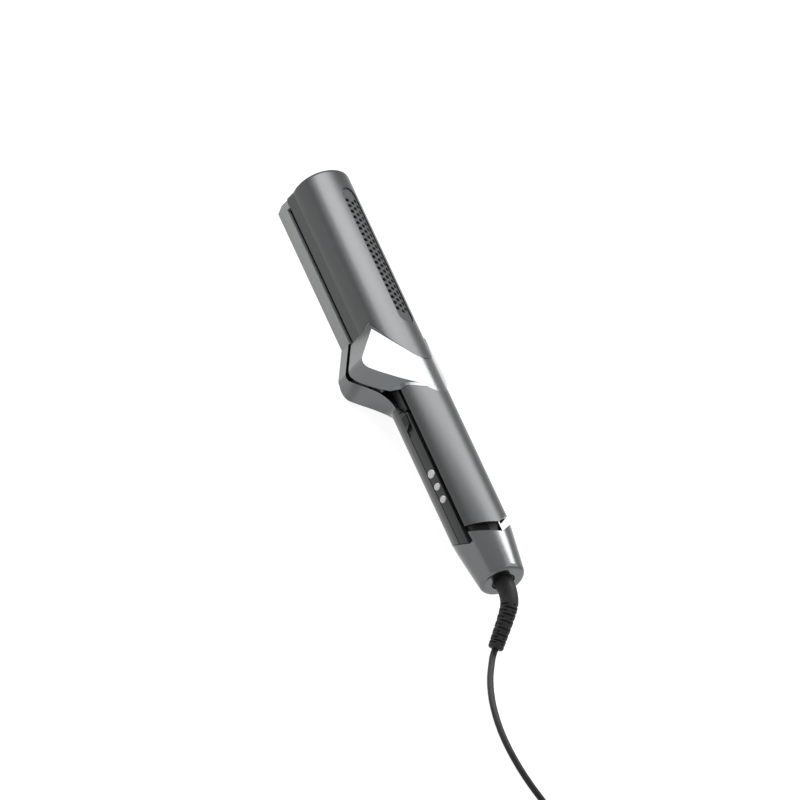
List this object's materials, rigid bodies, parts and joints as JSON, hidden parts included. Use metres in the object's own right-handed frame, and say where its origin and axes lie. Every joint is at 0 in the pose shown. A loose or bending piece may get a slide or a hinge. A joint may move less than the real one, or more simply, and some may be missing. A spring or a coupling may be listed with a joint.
{
  "type": "hot air styler",
  "caption": "Hinged two-arm hot air hair styler with a vented round barrel, heated plates, flared shoulders, a slim handle with buttons, and a coiled mains cord",
  "frame": {"origin": "centre of the styler's own box, on the floor that it rests on, without the cord", "axes": "+X runs from the barrel's tip to the cord end, +Z from the lower arm up to the vented barrel, and the buttons are on the -Y side"},
  "size_m": [0.6005, 0.0767, 0.0445],
  "materials": {
    "gunmetal": "satin metallic paint in a warm dark grey",
    "grille_black": "matt black moulded grille",
    "pale_grey": "smooth satin light grey",
    "black_plastic": "matt black heat-proof moulding",
    "plate_black": "smooth black ceramic coating on aluminium",
    "panel_black": "semi-gloss dark panel",
    "chrome": "bright plated and polished",
    "button_grey": "light grey gloss caps",
    "board_green": "green circuit board laminate",
    "steel": "plain bright steel",
    "cord_black": "soft black rubber",
    "plug_black": "black over-moulded plug",
    "pin_metal": "bright nickel-toned brass pins"
  },
  "bodies": {
    "lower_arm": {"lower_bar": "pale_grey", "lower_plate_holder": "black_plastic", "lower_plate": "plate_black", "lower_heater": "steel", "lower_shoulder": "chrome", "shoulder_bridge": "black_plastic", "lower_handle_shell": "gunmetal", "control_panel": "panel_black", "switch_board": "board_green", "circuit_board": "board_green", "hinge_bracket": "black_plastic", "hinge_pin": "steel", "leaf_spring": "steel", "tail_cap": "chrome", "cord_grommet": "cord_black", "shell_screws": "steel", "strain_relief": "cord_black", "power_cord": "cord_black", "cord_coil": "cord_black", "coil_tie": "cord_black", "plug_body": "plug_black", "plug_pins": "pin_metal"},
    "upper_arm": {"barrel_shell": "gunmetal", "vent_grille": "grille_black", "barrel_tip": "gunmetal", "upper_plate_holder": "black_plastic", "upper_plate": "plate_black", "upper_heater": "steel", "fan_motor": "steel", "motor_bracket": "black_plastic", "upper_shoulder": "chrome", "upper_handle_shell": "gunmetal", "hinge_knuckle": "steel"},
    "fan": {"fan_impeller": "black_plastic"},
    "power_key": {"power_button": "button_grey"},
    "plus_key": {"plus_button": "button_grey"},
    "minus_key": {"minus_button": "button_grey"},
    "lock": {"lock_slider": "panel_black"}
  },
  "joints": [
    {"name": "arm_hinge", "type": "hinge", "parent": "lower_arm", "child": "upper_arm", "pos_m": [0.1225, 0, 0.029], "axis": [0, 1, 0], "range_deg": [0, 18], "stiffness_Nm_per_rad": 0.5, "springref_deg": 34.38},
    {"name": "fan_spin", "type": "hinge", "parent": "upper_arm", "child": "fan", "pos_m": [-0.0555, 0, 0.0285], "axis": [1, 0, 0], "continuous": true},
    {"name": "power_press", "type": "slide", "parent": "lower_arm", "child": "power_key", "axis": [0, 1, 0], "range_m": [0, 0.0006], "stiffness_N_per_m": 300},
    {"name": "plus_press", "type": "slide", "parent": "lower_arm", "child": "plus_key", "axis": [0, 1, 0], "range_m": [0, 0.0006], "stiffness_N_per_m": 300},
    {"name": "minus_press", "type": "slide", "parent": "lower_arm", "child": "minus_key", "axis": [0, 1, 0], "range_m": [0, 0.0006], "stiffness_N_per_m": 300},
    {"name": "lock_slide", "type": "slide", "parent": "lower_arm", "child": "lock", "axis": [1, 0, 0], "range_m": [0, 0.0035]}
  ]
}
